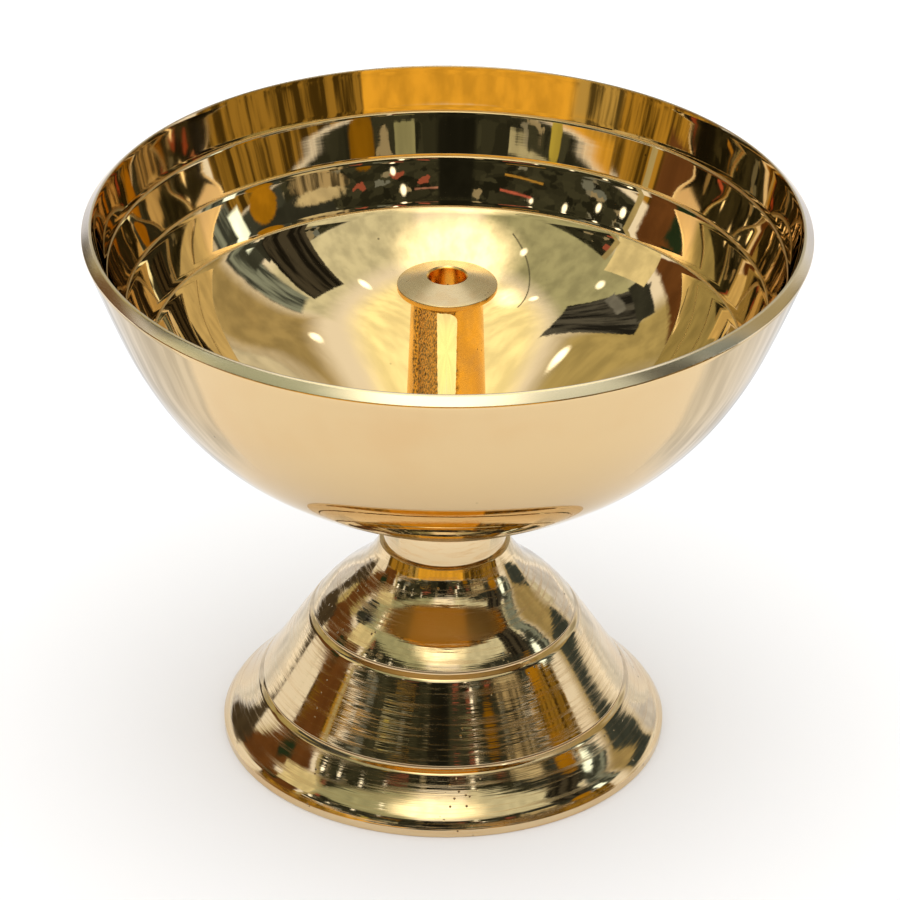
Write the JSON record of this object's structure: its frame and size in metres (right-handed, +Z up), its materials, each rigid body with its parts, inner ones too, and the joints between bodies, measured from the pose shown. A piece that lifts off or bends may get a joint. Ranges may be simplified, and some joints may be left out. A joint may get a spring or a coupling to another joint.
{
  "type": "pedestal oil lamp",
  "caption": "Brass oil lamp: an open bowl on a short neck and a hollow bell-shaped pedestal, with a slotted wick holder that screws in at the bowl's centre.",
  "frame": {"origin": "middle of the foot's underside, on the surface that the lamp stands on", "axes": "+Z up along the axis of pedestal and bowl; -Y faces the viewer of the picture, +X to the viewer's right"},
  "size_m": [0.1, 0.1, 0.0799],
  "materials": {
    "polished_brass": "mirror polished",
    "turned_brass": "polished over fine turning lines, as cast inside",
    "cast_brass": "satin outside, rough cast in the slot",
    "plated_steel": "zinc plated",
    "seal_rubber": "matt"
  },
  "bodies": {
    "lamp": {"pedestal": "turned_brass", "tie_stud": "plated_steel", "crown_washer": "plated_steel", "crown_nut": "plated_steel", "neck_ring": "polished_brass", "bowl": "polished_brass"},
    "seal": {"sealing_washer": "seal_rubber"},
    "wick_holder": {"wick_holder": "cast_brass"}
  },
  "joints": [
    {"name": "wick_lift", "type": "slide", "parent": "lamp", "child": "seal", "axis": [0, 0, 1], "range_m": [0, 0.005]},
    {"name": "wick_turn", "type": "hinge", "parent": "seal", "child": "wick_holder", "pos_m": [0, 0, 0.0382], "axis": [0, 0, 1], "range_deg": [0, 1800]}
  ],
  "couplings": [
    {"joint": "wick_lift", "follows": "wick_turn", "m_per_rad": 0.00015915}
  ]
}
